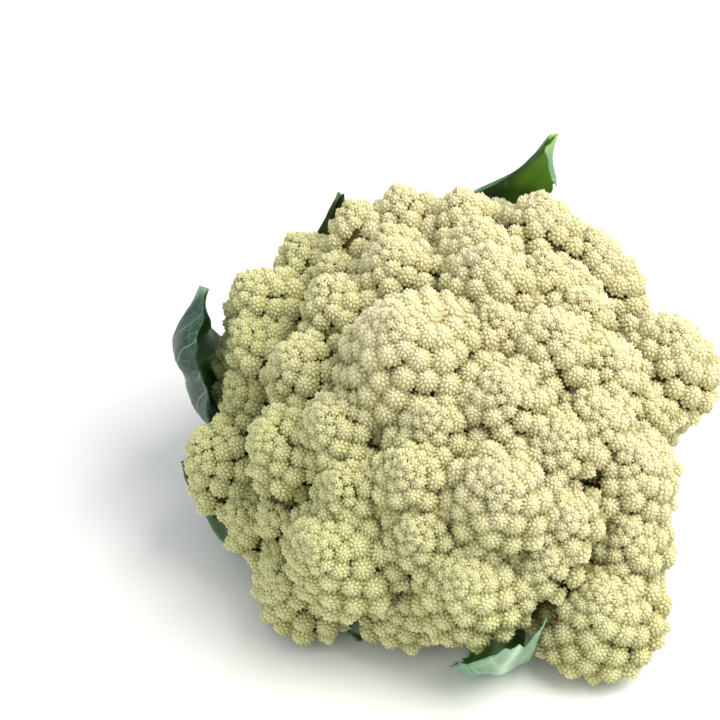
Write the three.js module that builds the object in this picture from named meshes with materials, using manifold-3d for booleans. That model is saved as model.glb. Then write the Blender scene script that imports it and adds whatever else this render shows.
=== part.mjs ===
// A pointed, pale green cauliflower head, with its cut stalk and the short leaves left round it.
// Millimetres. +Z is up, the surface that it lies on is z = 0 and -Y is the side seen first.
import * as THREE from 'three';
import { ConvexHull } from 'three/addons/math/ConvexHull.js';
import { mergeVertices } from 'three/addons/utils/BufferGeometryUtils.js';
import Module from 'manifold-3d';

const wasm = await Module();
wasm.setup();

// Where the head lies, with its lean in degrees
const headCentre = new THREE.Vector3( 1.4, - 7, 52.2 );
const leanForward = 17;
const leanLeft = 15;

// The middles of the florets lie on a flattened ball round the head's centre
const ballRadius = 66;
const ballRise = 50;
const rootDrop = 8;
const fullness = 1.04;

// One floret, as shares of its own radius, with angles in degrees
const tipHeight = 1.1;
const rimDepth = 0.75;
const rimWrap = 25;
const neckRadius = 0.35;
const branchShare = 0.65;
const bulge = 1.28;

// Cones on a floret: they are small at its tip and grow towards its rim
const goldenAngle = 137.508;
const tipSpacing = 4.8;
const spacingGrowth = 0.48;
const mostSpacing = 12.5;
const coneRise = 0.32;
const creaseDepth = 0.1;
const conePacking = 0.87;
const coneLean = 0.35;
const tipWidth = 0.35;
const sideSteps = 40;
const sidePower = 1.45;
const wrapStep = 5;

// Directions that tell which cones are neighbours, down from the floret's tip, and the branch's end
const rimPolar = Math.PI * 0.72;
const neckPolar = Math.PI * 0.86;
const neckSides = 6;

// The florets lean out from the head's axis, but never far
const mostLean = 28;
const leanRate = 1.2;

// Bearing round the head (0 in front, 90 on the right), degrees down from its top, radius, and for
// some how much further out it hangs
const crown = [ 0, 4, 25 ];
const innerFlorets = [
	[ - 54, 31, 14 ], [ 7, 24, 12 ], [ 49, 31, 15 ], [ - 8, 38, 14 ], [ - 71, 49, 16 ], [ - 8, 57, 12 ],
	[ 134, 34, 15 ], [ 86, 41, 15 ], [ 83, 61, 14 ], [ 64, 61, 13 ], [ - 101, 36, 14 ], [ 22, 51, 18 ],
	[ - 152, 59, 13 ], [ 35, 73, 12 ], [ - 174, 36, 14 ], [ - 140, 38, 13 ], [ 105, 56, 12 ], [ 99, 25, 10 ],
	[ 152, 48, 15 ], [ 125, 52, 12 ], [ 50, 52, 12 ], [ - 36, 45, 12 ],
];
const outerFlorets = [
	[ - 35, 68, 20 ], [ 2, 84, 21, - 4 ], [ - 73, 88, 13, 5 ], [ - 51, 98, 18, 6 ], [ 25, 85, 12 ],
	[ 31, 120, 20.5, 21 ], [ 47, 106, 16, 8 ], [ 60, 87, 18 ], [ 81, 85, 12 ], [ 96, 89, 19, 11 ], [ 125, 74, 14, - 4 ],
	[ 143, 66, 16, 12 ], [ 164, 62, 16, 8 ], [ - 179, 60, 15, 14 ], [ - 166, 60, 15, 14 ],
	[ - 174, 50, 13, 2 ], [ - 132, 61, 16, 15 ], [ - 120, 64, 15, 6 ], [ - 109, 74, 12, 4 ],
	[ - 89, 79, 17, 10 ], [ - 62, 74, 10 ], [ - 22, 100, 14, - 2 ], [ - 150, 72, 15, 16 ],
];

// Florets that close the back and the low sides, in two even rows
const backRows = [
	{ count: 5, from: 132, to: 238, down: 90, radius: 20, hang: 8 },
	{ count: 6, from: 100, to: 266, down: 110, radius: 19, hang: 4 },
];

// The solid middle that every floret grows from, as [distance from the axis, height]
const coreProfile = [ [ 0, - 24 ], [ 20, - 24 ], [ 50, - 10 ], [ 60, 4 ], [ 58, 22 ], [ 40, 40 ], [ 0, 50 ] ];
const coreSides = 20;

// Stalk, in the head's frame. It flares by a millimetre at its foot, which is under the cut
const stalkRadius = 20;
const stalkFlare = 1;
const stalkTop = - 24;
const stalkWaist = - 46;
const stalkFoot = - 72;
const stalkSides = 24;
const gap = 0.3;

// Leaves: each stop of a leaf's midrib is [bearing, distance from the head's axis, height]
const bladeThickness = 0.9;
const ribThickness = 4.5;
const ribWidth = 4;
const leafRows = 18;
const leafColumns = 6;
const toothDepth = 0.14;
const leafClearance = 1.4;
const clearPasses = 4;
const branchReach = 0.45;
const ribFade = 0.8;
const bladeStart = 0.3;
const bladeFull = 0.6;
const marginStart = 0.9;
const rippleRate = 19;
const rippleSkew = 2;
const leaves = [
	{
		name: 'leaf_front', colour: 0x6f9a80, cup: 7, wave: 1.5, twist: 0.3,
		rib: [ [ 4, 14, 9 ], [ 4, 45, 5 ], [ 3, 79, 3 ], [ 4, 89, 12 ], [ 9, 91, 33 ] ],
		widths: [ 9, 11, 24, 38, 30 ],
	},
	{
		name: 'leaf_front_left', colour: 0x3d5f30, cup: 1, wave: 1, twist: 0,
		rib: [ [ - 34, 14, 9 ], [ - 34, 40, 7 ], [ - 34, 58, 5 ], [ - 34, 70, 13 ], [ - 33, 76, 26 ] ],
		widths: [ 9, 9, 12, 18, 8 ],
	},
	{
		name: 'leaf_low_left', colour: 0x2f5a26, cup: 6, wave: 2, twist: 0,
		rib: [ [ - 80, 14, 9 ], [ - 79, 50, 4 ], [ - 78, 80, 4 ], [ - 82, 92, 13 ], [ - 90, 95, 34 ] ],
		widths: [ 9, 12, 34, 42, 4 ],
	},
	{
		name: 'leaf_left', colour: 0x44705a, cup: 14, wave: 2, twist: 0.8,
		rib: [ [ - 118, 14, 10 ], [ - 116, 52, 10 ], [ - 111, 88, 30 ], [ - 112, 101, 59 ], [ - 123, 92, 87 ] ],
		widths: [ 9, 12, 34, 48, 3 ],
	},
	{
		name: 'leaf_back_left', colour: 0x44703a, cup: 8, wave: 2, twist: 0,
		rib: [ [ - 148, 14, 11 ], [ - 148, 56, 14 ], [ - 149, 92, 34 ], [ - 155, 99, 67 ], [ - 165, 98, 99 ] ],
		widths: [ 9, 12, 28, 22, 3 ],
	},
	{
		name: 'leaf_back_right', colour: 0x4c8a35, cup: 9, wave: 3, twist: 0,
		rib: [ [ 156, 14, 11 ], [ 156, 56, 14 ], [ 158, 94, 38 ], [ 160.5, 104, 84 ], [ 147.5, 112, 131 ] ],
		widths: [ 9, 13, 40, 46, 3 ],
	},
	{
		name: 'leaf_low_back', colour: 0x4a7a3c, cup: 7, wave: 2, twist: 0,
		rib: [ [ 184, 14, 9 ], [ 184, 48, 8 ], [ 184, 80, 14 ], [ 184, 93, 30 ], [ 185, 96, 50 ] ],
		widths: [ 9, 12, 32, 34, 4 ],
	},
	{
		name: 'leaf_low_right', colour: 0x4a7a3c, cup: 7, wave: 2, twist: 0,
		rib: [ [ 122, 14, 9 ], [ 122, 48, 6 ], [ 122, 76, 6 ], [ 123, 90, 14 ], [ 124, 92, 30 ] ],
		widths: [ 9, 12, 32, 34, 4 ],
	},
];

const mergeDistance = 0.0001;
const groundSize = 600;
const radians = THREE.MathUtils.degToRad;

// Head frame: its Z axis runs from the stalk to the tip
const headTurn = new THREE.Matrix4().makeRotationFromEuler(
	new THREE.Euler( radians( leanForward ), radians( - leanLeft ), 0, 'YXZ' ) );
const headFrame = headTurn.clone().setPosition( headCentre );
const headAxis = new THREE.Vector3( 0, 0, 1 ).transformDirection( headTurn );

function onAxis( height ) {

	return headCentre.clone().addScaledVector( headAxis, ( height - headCentre.z ) / headAxis.z );

}

function sideways( bearing ) {

	return new THREE.Vector3( Math.sin( radians( bearing ) ), - Math.cos( radians( bearing ) ), 0 );

}

function toSolid( geometry ) {

	const bare = geometry.clone();
	bare.deleteAttribute( 'normal' );
	bare.deleteAttribute( 'uv' );
	const merged = mergeVertices( bare, mergeDistance );
	return new wasm.Manifold( new wasm.Mesh( {
		numProp: 3,
		vertProperties: new Float32Array( merged.attributes.position.array ),
		triVerts: new Uint32Array( merged.index.array ),
	} ) );

}

function toGeometry( solid ) {

	const mesh = solid.getMesh();
	const geometry = new THREE.BufferGeometry();
	geometry.setAttribute( 'position', new THREE.BufferAttribute( mesh.vertProperties, 3 ) );
	geometry.setIndex( new THREE.BufferAttribute( mesh.triVerts, 1 ) );
	geometry.computeVertexNormals();
	return geometry;

}

function toFlatFaces( points, triangles ) {

	const geometry = new THREE.BufferGeometry();
	geometry.setFromPoints( triangles.flat().map( ( corner ) => points[ corner ] ) );
	return geometry;

}

// The side of a floret, from its tip to just under its rim, with the distance run along it
function floretSide( radius ) {

	const side = [];
	for ( let i = 0; i <= sideSteps; i ++ ) {

		const share = i / sideSteps;
		side.push( { r: radius * share, z: tipHeight * radius * ( 1 - Math.pow( share, sidePower ) ) } );

	}

	for ( let angle = wrapStep; angle <= rimWrap; angle += wrapStep ) {

		side.push( {
			r: radius * Math.cos( radians( angle ) ),
			z: - rimDepth * radius * Math.sin( radians( angle ) ),
		} );

	}

	side[ 0 ].run = 0;
	for ( let i = 1; i < side.length; i ++ ) {

		const last = side[ i - 1 ];
		side[ i ].run = last.run + Math.hypot( side[ i ].r - last.r, side[ i ].z - last.z );

	}

	return side;

}

function pointOnSide( side, run ) {

	const next = Math.max( 1, side.findIndex( ( stop ) => stop.run >= run ) );
	const before = side[ next - 1 ];
	const after = side[ next ];
	const share = ( run - before.run ) / ( after.run - before.run );
	const slope = Math.atan2( before.z - after.z, after.r - before.r );
	return {
		r: before.r + share * ( after.r - before.r ),
		z: before.z + share * ( after.z - before.z ),
		slope,
	};

}

// Cones set round a floret by the golden angle, each a pyramid whose foot is the crease round it
function makeFloret( floret ) {

	const side = floretSide( floret.radius );
	const wholeRun = side.at( - 1 ).run;
	const feet = [];
	const tips = [];
	const directions = [];
	let run = 0;
	for ( let n = 0; run <= wholeRun; n ++ ) {

		const spacing = Math.min( tipSpacing + spacingGrowth * run, mostSpacing );
		const bearing = n * goldenAngle + floret.bearing;
		const place = pointOnSide( side, run );
		const out = sideways( bearing );
		const foot = out.clone().multiplyScalar( place.r ).setZ( place.z );
		const rise = out.clone().multiplyScalar( Math.sin( place.slope ) * ( 1 - coneLean ) );
		rise.z = Math.cos( place.slope ) + coneLean;
		feet.push( foot );
		tips.push( foot.clone().addScaledVector( rise.normalize(), spacing * coneRise ) );
		const polar = run / wholeRun * rimPolar;
		directions.push( out.clone().multiplyScalar( Math.sin( polar ) ).setZ( Math.cos( polar ) ) );
		const around = 2 * Math.PI * Math.max( place.r, spacing * tipWidth );
		run += conePacking * spacing * spacing / around;

	}

	// The branch under the floret ends in a ring of plain points
	for ( let n = 0; n <= neckSides; n ++ ) {

		const isEnd = n === neckSides;
		const out = sideways( n * 360 / neckSides );
		const foot = out.clone().multiplyScalar( isEnd ? 0 : neckRadius * floret.radius ).add( floret.neck );
		feet.push( foot );
		tips.push( foot );
		const polar = isEnd ? Math.PI : neckPolar;
		directions.push( out.multiplyScalar( Math.sin( polar ) ).setZ( Math.cos( polar ) ) );

	}

	return joinCones( feet, tips, directions ).applyMatrix4( floret.frame );

}

// Neighbours are the corners of one hull round the directions. A crease point lies in each face of it
function joinCones( feet, tips, directions ) {

	const hull = new ConvexHull().setFromPoints( directions );
	const points = [ ...tips ];
	const number = new Map( directions.map( ( direction, n ) => [ direction, n ] ) );
	const creaseOf = new Map();
	for ( const face of hull.faces ) {

		const corners = [ face.getEdge( 0 ), face.getEdge( 1 ), face.getEdge( 2 ) ]
			.map( ( edge ) => number.get( edge.head().point ) );
		const middle = new THREE.Vector3();
		const lift = new THREE.Vector3();
		for ( const corner of corners ) {

			middle.addScaledVector( feet[ corner ], 1 / 3 );
			lift.addScaledVector( tips[ corner ], 1 / 3 );

		}

		lift.sub( middle );
		creaseOf.set( face, points.length );
		points.push( middle.addScaledVector( lift, - creaseDepth ) );

	}

	const triangles = [];
	for ( const face of hull.faces ) {

		for ( let n = 0; n < 3; n ++ ) {

			const edge = face.getEdge( n );
			triangles.push( [ number.get( edge.tail().point ), creaseOf.get( edge.twin.face ), creaseOf.get( face ) ] );

		}

	}

	return toFlatFaces( points, triangles );

}

// Where a floret stands: its own frame, with the neck of its branch in that frame
function placeFloret( [ bearing, down, width, hang = 0 ] ) {

	const radius = width * fullness;
	const out = sideways( bearing );
	const angle = radians( down );
	const centre = out.clone().multiplyScalar( ballRadius * Math.sin( angle ) + hang );
	centre.z = ballRise * Math.cos( angle );
	const lean = radians( mostLean * Math.sin( leanRate * angle ) );
	const direction = out.clone().multiplyScalar( Math.sin( lean ) ).setZ( Math.cos( lean ) );
	const turn = new THREE.Quaternion().setFromUnitVectors( new THREE.Vector3( 0, 0, 1 ), direction );
	const root = new THREE.Vector3( 0, 0, - rootDrop );
	const neck = centre.clone().lerp( root, branchShare );
	const frame = headFrame.clone().multiply(
		new THREE.Matrix4().compose( centre, turn, new THREE.Vector3( 1, 1, 1 ) ) );
	return {
		bearing,
		radius,
		frame,
		neck: neck.clone().sub( centre ).applyQuaternion( turn.clone().invert() ),
		centreInSpace: centre.applyMatrix4( headFrame ),
		neckInSpace: neck.applyMatrix4( headFrame ),
	};

}

function rowOfFlorets( row ) {

	const florets = [];
	for ( let n = 0; n < row.count; n ++ ) {

		const bearing = row.from + ( row.to - row.from ) * n / ( row.count - 1 );
		florets.push( [ bearing, row.down, row.radius, row.hang ] );

	}

	return florets;

}

const florets = [ crown, ...innerFlorets, ...outerFlorets, ...backRows.flatMap( rowOfFlorets ) ].map( placeFloret );

function makeRound( profile, sides ) {

	const outline = profile.map( ( [ r, z ] ) => new THREE.Vector2( r, z ) );
	return new THREE.LatheGeometry( outline, sides ).rotateX( Math.PI / 2 ).applyMatrix4( headFrame );

}

// Everything under the surface is cut away, which leaves small flat spots to rest on
const groundBox = new THREE.BoxGeometry( groundSize, groundSize, groundSize );
const ground = toSolid( groundBox.translate( 0, 0, - groundSize / 2 ) );

function makeCurd() {

	let curd = toSolid( makeRound( coreProfile, coreSides ) );
	for ( const floret of florets ) {

		curd = curd.add( toSolid( makeFloret( floret ) ) );

	}

	const pieces = curd.subtract( ground ).decompose();
	pieces.sort( ( a, b ) => b.volume() - a.volume() );
	return pieces[ 0 ];

}

function stalkSolid( margin ) {

	const r = stalkRadius + margin;
	const top = stalkTop - gap + margin;
	const profile = [
		[ 0, stalkFoot ], [ r + stalkFlare, stalkFoot ], [ r - stalkFlare, stalkWaist ], [ r, top ], [ 0, top ],
	];
	return toSolid( makeRound( profile, stalkSides ) );

}

// Pushes a point of a leaf out of every floret and branch
function pushClear( point, margin ) {

	const along = new THREE.Vector3();
	const nearest = new THREE.Vector3();
	for ( let pass = 0; pass < clearPasses; pass ++ ) {

		for ( const floret of florets ) {

			along.subVectors( floret.neckInSpace, floret.centreInSpace );
			nearest.subVectors( point, floret.centreInSpace );
			const share = THREE.MathUtils.clamp( nearest.dot( along ) / along.lengthSq(), 0, 1 );
			nearest.copy( floret.centreInSpace ).addScaledVector( along, share );
			const reach = floret.radius * THREE.MathUtils.lerp( bulge, branchReach, share ) + margin;
			const away = point.clone().sub( nearest );
			if ( away.length() < reach ) point.copy( nearest ).addScaledVector( away.normalize(), reach );

		}

		point.z = Math.max( point.z, margin );

	}

	return point;

}

function leafPoint( leaf, rib, widths, along, across ) {

	const stop = rib.getPoint( along );
	const width = widths.getPoint( along ).y;
	const blade = THREE.MathUtils.smoothstep( along, bladeStart, bladeFull );
	const tooth = 1 - blade * toothDepth * Math.abs( Math.sin( along * leafRows * Math.PI / 2 ) );
	const reach = across * width / 2 * ( Math.abs( across ) > marginStart ? tooth : 1 );
	const ripple = leaf.wave * blade * across * across * Math.sin( along * rippleRate + across * rippleSkew );
	const distance = stop.y - leaf.cup * blade * across * across + ripple;
	const bearing = stop.x + THREE.MathUtils.radToDeg( reach / stop.y );
	const point = sideways( bearing ).multiplyScalar( distance ).add( onAxis( stop.z ) );
	point.z += leaf.twist * reach;
	return point;

}

// A leaf is one blade with a thick midrib. Both faces are split into triangles alike
function makeLeaf( leaf ) {

	const rib = new THREE.CatmullRomCurve3( leaf.rib.map( ( stop ) => new THREE.Vector3( ...stop ) ) );
	const widths = new THREE.SplineCurve(
		leaf.widths.map( ( width, n ) => new THREE.Vector2( n, width ) ) );
	const middle = [];
	for ( let row = 0; row <= leafRows; row ++ ) {

		for ( let column = 0; column <= leafColumns; column ++ ) {

			const across = column / leafColumns * 2 - 1;
			middle.push( leafPoint( leaf, rib, widths, row / leafRows, across ) );

		}

	}

	const across = leafColumns + 1;
	const halves = middle.map( ( point, n ) => {

		const width = widths.getPoint( Math.floor( n / across ) / leafRows ).y;
		const off = ( ( n % across ) / leafColumns * 2 - 1 ) * width / 2;
		const fade = 1 - ribFade * Math.floor( n / across ) / leafRows;
		const rise = Math.exp( - off * off / ( ribWidth * ribWidth ) );
		return ( bladeThickness + ribThickness * fade * rise ) / 2;

	} );
	middle.forEach( ( point, n ) => pushClear( point, halves[ n ] + leafClearance ) );
	const top = [];
	const bottom = [];
	for ( let n = 0; n < middle.length; n ++ ) {

		const row = Math.floor( n / across );
		const column = n % across;
		const upward = middle[ Math.min( row + 1, leafRows ) * across + column ].clone()
			.sub( middle[ Math.max( row - 1, 0 ) * across + column ] );
		const sideward = middle[ row * across + Math.min( column + 1, leafColumns ) ].clone()
			.sub( middle[ row * across + Math.max( column - 1, 0 ) ] );
		const normal = upward.cross( sideward ).normalize();
		top.push( middle[ n ].clone().addScaledVector( normal, halves[ n ] ) );
		bottom.push( middle[ n ].clone().addScaledVector( normal, - halves[ n ] ) );

	}

	const triangles = [];
	const under = top.length;
	for ( let row = 0; row < leafRows; row ++ ) {

		for ( let column = 0; column < leafColumns; column ++ ) {

			const a = row * across + column;
			const b = a + 1;
			const c = a + across;
			const d = c + 1;
			triangles.push( [ a, c, b ], [ b, c, d ] );
			triangles.push( [ a + under, b + under, c + under ], [ b + under, d + under, c + under ] );

		}

	}

	const loop = [];
	for ( let column = 0; column < leafColumns; column ++ ) loop.push( column );
	for ( let row = 0; row < leafRows; row ++ ) loop.push( row * across + leafColumns );
	for ( let column = leafColumns; column > 0; column -- ) loop.push( leafRows * across + column );
	for ( let row = leafRows; row > 0; row -- ) loop.push( row * across );
	loop.forEach( ( a, n ) => {

		const b = loop[ ( n + 1 ) % loop.length ];
		triangles.push( [ a, b, b + under ], [ a, b + under, a + under ] );

	} );
	return toFlatFaces( [ ...top, ...bottom ], triangles );

}

function addMesh( group, name, solid, colour, roughness ) {

	const material = new THREE.MeshStandardMaterial( { color: colour, roughness, metalness: 0 } );
	const mesh = new THREE.Mesh( toGeometry( solid ), material );
	mesh.name = name;
	group.add( mesh );

}

const cauliflower = new THREE.Group();
addMesh( cauliflower, 'curd', makeCurd(), 0xe2dcb4, 0.75 );
addMesh( cauliflower, 'stalk', stalkSolid( 0 ).subtract( ground ), 0xc9d3a0, 0.6 );
for ( const leaf of leaves ) {

	const solid = toSolid( makeLeaf( leaf ) ).subtract( stalkSolid( gap ) ).subtract( ground );
	addMesh( cauliflower, leaf.name, solid, leaf.colour, 0.55 );

}

export default cauliflower;
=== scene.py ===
# Pointed, pale green cauliflower head: beads on cones on florets, with its stalk and short leaves
import math
import bpy
import numpy as np
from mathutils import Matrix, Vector
from mathutils.bvhtree import BVHTree
from mathutils.geometry import delaunay_2d_cdt


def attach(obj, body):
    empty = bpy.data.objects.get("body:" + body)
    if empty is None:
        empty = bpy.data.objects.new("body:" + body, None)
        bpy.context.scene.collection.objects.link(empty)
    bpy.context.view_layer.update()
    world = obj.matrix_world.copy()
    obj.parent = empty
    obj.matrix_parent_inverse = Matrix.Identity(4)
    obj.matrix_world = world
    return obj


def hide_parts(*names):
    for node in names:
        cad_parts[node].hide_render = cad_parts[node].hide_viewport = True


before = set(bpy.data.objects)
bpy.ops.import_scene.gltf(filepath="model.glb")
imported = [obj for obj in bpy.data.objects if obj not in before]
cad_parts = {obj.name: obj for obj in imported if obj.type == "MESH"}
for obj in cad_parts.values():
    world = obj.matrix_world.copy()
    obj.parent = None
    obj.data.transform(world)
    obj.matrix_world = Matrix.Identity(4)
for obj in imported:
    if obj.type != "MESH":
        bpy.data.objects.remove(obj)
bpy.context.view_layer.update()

mm = 0.001
goldenAngle = math.radians(137.508)


# Where the head lies and how it leans

head = {
    "centre": (1.4, -7, 52.2),  # mm
    "leanForward": 17,  # degrees
    "leanLeft": 15,
    "ballRadius": 66,  # the florets' middles lie on this flattened ball
    "ballRise": 50,
    "rootDrop": 8,
    "fullness": 1.04,
    "mostLean": 28,
    "leanRate": 1.2,
}


def turnAboutX(angle):
    c, s = math.cos(angle), math.sin(angle)
    return np.array([[1, 0, 0], [0, c, -s], [0, s, c]])


def turnAboutY(angle):
    c, s = math.cos(angle), math.sin(angle)
    return np.array([[c, 0, s], [0, 1, 0], [-s, 0, c]])


headCentre = np.array(head["centre"])
headTurn = turnAboutY(math.radians(-head["leanLeft"])) @ turnAboutX(math.radians(head["leanForward"]))
headAxis = headTurn @ np.array([0, 0, 1.0])


def sideways(bearing):  # bearing 0 is the front, 90 the right
    b = np.radians(bearing)
    return np.stack([np.sin(b), -np.cos(b), np.zeros_like(b)], -1)


def toSpace(points):
    return headCentre + points @ headTurn.T


# Camera, light and floor

studio = {
    "elevation": 38,  # degrees above the horizon, as in the photo
    "frameSide": 720,  # pixels
    "headPixel": (447, 432),  # where the head's centre falls in the frame
    "mmPerPixel": 0.35,
    "distance": 800,  # mm
    "sensor": 36,  # mm
    "nearest": 0.05,  # m
    "sky": 0.70,
    "skyColour": (0.93, 0.96, 1, 1),
    "key": {"place": (0.48, -0.12, 0.78), "size": 0.8, "power": 10.4, "colour": (1, 0.97, 0.9)},  # m and W
    "fill": {"place": (-0.5, -0.6, 0.5), "size": 0.6, "power": 1.3, "colour": (1, 0.99, 0.95)},
    "litPoint": (0, 0, 0.06),  # m
    "floorReach": 3,
    "floorColour": (0.92, 0.92, 0.91, 1),
    "floorRoughness": 0.8,
}


def makeCamera():
    e = math.radians(studio["elevation"])
    toCamera = np.array([0, -math.cos(e), math.sin(e)])
    up = np.array([0, math.sin(e), math.cos(e)])
    right = np.array([1.0, 0, 0])
    middle = studio["frameSide"] / 2
    across = (middle - studio["headPixel"][0]) * studio["mmPerPixel"]
    down = (middle - studio["headPixel"][1]) * studio["mmPerPixel"]
    aim = headCentre + right * across - up * down
    data = bpy.data.cameras.new("camera")
    data.sensor_width = studio["sensor"]
    data.lens = studio["sensor"] * studio["distance"] / studio["mmPerPixel"] / studio["frameSide"]
    data.clip_start = studio["nearest"]
    camera = bpy.data.objects.new("camera", data)
    camera.location = Vector((aim + toCamera * studio["distance"]) * mm)
    camera.rotation_euler = Vector(toCamera).to_track_quat("Z", "Y").to_euler()
    bpy.context.scene.collection.objects.link(camera)
    bpy.context.scene.camera = camera


def addAreaLight(name):
    light = studio[name]
    data = bpy.data.lights.new(name, "AREA")
    data.shape = "DISK"
    data.size = light["size"]
    data.energy = light["power"]
    data.color = light["colour"]
    lamp = bpy.data.objects.new(name, data)
    lamp.location = Vector(light["place"])
    backward = lamp.location - Vector(studio["litPoint"])
    lamp.rotation_euler = backward.to_track_quat("Z", "Y").to_euler()
    bpy.context.scene.collection.objects.link(lamp)


def makeStudio():
    world = bpy.data.worlds.new("studio")
    world.use_nodes = True
    background = world.node_tree.nodes["Background"]
    background.inputs["Color"].default_value = studio["skyColour"]
    background.inputs["Strength"].default_value = studio["sky"]
    bpy.context.scene.world = world
    bpy.context.scene.view_settings.view_transform = "Standard"
    addAreaLight("key")
    addAreaLight("fill")
    far = studio["floorReach"]
    floor = bpy.data.meshes.new("floor")
    floor.from_pydata([(-far, -far, 0), (far, -far, 0), (far, far, 0), (-far, far, 0)], [], [(0, 1, 2, 3)])
    floorObject = bpy.data.objects.new("floor", floor)
    bpy.context.scene.collection.objects.link(floorObject)
    paint = bpy.data.materials.new("paleFloor")
    paint.use_nodes = True
    shader = paint.node_tree.nodes["Principled BSDF"]
    shader.inputs["Base Color"].default_value = studio["floorColour"]
    shader.inputs["Roughness"].default_value = studio["floorRoughness"]
    floor.materials.append(paint)


# Mesh helper: arrays in mm become one object, with its values for the materials on the points

def makeObject(name, points, faces, values, material, sharpPoints=None):
    mesh = bpy.data.meshes.new(name)
    points = np.asarray(points, float)
    faces = np.asarray(faces, np.int32)
    sides = faces.shape[1]
    mesh.vertices.add(len(points))
    mesh.vertices.foreach_set("co", (points * mm).astype(np.float32).ravel())
    mesh.loops.add(faces.size)
    mesh.loops.foreach_set("vertex_index", faces.ravel())
    mesh.polygons.add(len(faces))
    mesh.polygons.foreach_set("loop_start", np.arange(0, faces.size, sides, dtype=np.int32))
    mesh.update(calc_edges=True)
    mesh.validate()
    for key, value in values.items():
        mesh.attributes.new(key, "FLOAT", "POINT").data.foreach_set("value", np.asarray(value, np.float32))
    if sharpPoints is not None:
        ends = np.empty(len(mesh.edges) * 2, np.int32)
        mesh.edges.foreach_get("vertices", ends)
        isSharp = sharpPoints[ends[0::2]] & sharpPoints[ends[1::2]]
        mesh.attributes.new("sharp_edge", "BOOLEAN", "EDGE").data.foreach_set("value", isSharp)
    mesh.materials.append(material)
    piece = bpy.data.objects.new(name, mesh)
    bpy.context.scene.collection.objects.link(piece)
    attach(piece, "root")
    return piece


# Florets: bearing, degrees down from the tip, radius, and for some how much further out they hang

florets = {
    "crown": [(0, 4, 25)],
    "inner": [
        (-54, 31, 14), (7, 24, 12), (49, 31, 15), (-8, 38, 14), (-71, 49, 16), (-8, 57, 12),
        (134, 34, 15), (86, 41, 15), (83, 61, 14), (64, 61, 13), (-101, 36, 14), (22, 51, 18),
        (-152, 59, 13), (35, 73, 12), (-174, 36, 14), (-140, 38, 13), (105, 56, 12), (99, 25, 10),
        (152, 48, 15), (125, 52, 12), (50, 52, 12), (-36, 45, 12),
    ],
    "outer": [
        (-35, 68, 20), (2, 84, 21, -4), (-73, 88, 13, 5), (-51, 98, 18, 6), (25, 85, 12),
        (31, 120, 20.5, 21), (47, 106, 16, 8), (60, 87, 18), (81, 85, 12), (96, 89, 19, 11),
        (125, 74, 14, -4), (143, 66, 16, 12), (164, 62, 16, 8), (-179, 60, 15, 14),
        (-166, 60, 15, 14), (-174, 50, 13, 2), (-132, 61, 16, 15), (-120, 64, 15, 6),
        (-109, 74, 12, 4), (-89, 79, 17, 10), (-62, 74, 10), (-22, 100, 14, -2), (-150, 72, 15, 16),
    ],
    "backRows": [
        {"count": 5, "from": 132, "to": 238, "down": 90, "radius": 20, "hang": 8},
        {"count": 6, "from": 100, "to": 266, "down": 110, "radius": 19, "hang": 4},
    ],
    "tipHeight": 1.2,  # shares of a floret's radius
    "sidePower": 1.06,
    "sideSteps": 60,
    "rimDepth": 0.75,
    "rimWrap": (2, 56),  # degrees that the outline turns in under the rim
    "wrapSteps": 20,
    "branchShare": 0.65,
    "coneAtTip": 1.7,  # mm between cones, growing from the floret's tip to its rim
    "coneGrowth": 0.35,
    "coneMost": 7.9,
    "coneJitter": 0.09,
    "coneEven": 6,  # mm from the tip in which the cones stand more evenly
    "coneLean": 0.35,
}


def placeFloret(bearing, down, width, hang=0):
    radius = width * head["fullness"]
    angle = math.radians(down)
    out = sideways(bearing)
    centre = out * (head["ballRadius"] * math.sin(angle) + hang)
    centre[2] = head["ballRise"] * math.cos(angle)
    lean = math.radians(head["mostLean"]) * math.sin(head["leanRate"] * angle)
    direction = out * math.sin(lean)
    direction[2] = math.cos(lean)
    turn = np.array(Vector((0, 0, 1)).rotation_difference(Vector(direction)).to_matrix())
    neck = centre + (np.array([0, 0, -head["rootDrop"]]) - centre) * florets["branchShare"]
    return {
        "bearing": bearing,
        "radius": radius,
        "turn": headTurn @ turn,
        "centre": toSpace(centre),
        "neck": toSpace(neck),
    }


def listFlorets():
    rows = florets["crown"] + florets["inner"] + florets["outer"]
    for row in florets["backRows"]:
        for bearing in np.linspace(row["from"], row["to"], row["count"]):
            rows.append((bearing, row["down"], row["radius"], row["hang"]))
    return [placeFloret(*row) for row in rows]


placed = listFlorets()


def alongSide(r, z):  # the distance run along an outline from its tip, and its slope there
    run = np.append(0, np.cumsum(np.hypot(np.diff(r), np.diff(z))))
    return run, np.arctan2(-np.gradient(z, run), np.gradient(r, run))


def floretSide(radius):  # outline from the tip to under the rim
    share = np.linspace(0, 1, florets["sideSteps"])
    r = radius * share
    z = florets["tipHeight"] * radius * (1 - share ** florets["sidePower"])
    wrap = np.radians(np.linspace(*florets["rimWrap"], florets["wrapSteps"]))
    r = np.append(r, radius * np.cos(wrap))
    z = np.append(z, -florets["rimDepth"] * radius * np.sin(wrap))
    return r, z, *alongSide(r, z)


# Cones and beads both follow a golden-angle spiral from a tip, wider apart as they go

spiral = {
    "cell": 0.87,  # area of one site for a spacing of 1
    "leastReach": 0.35,  # shares of the spacing, for the turns nearest the axis
}


def spiralSites(r, run, end, first, growth, most, start=0.0):  # distance run, bearing and spacing of each
    sites = []
    at = 0.0
    while at <= end:
        spacing = min(first + growth * at, most)
        sites.append((at, len(sites) * goldenAngle + start, spacing))
        around = 2 * math.pi * max(np.interp(at, run, r), spacing * spiral["leastReach"])
        at += spiral["cell"] * spacing * spacing / around
    return sites


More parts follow.
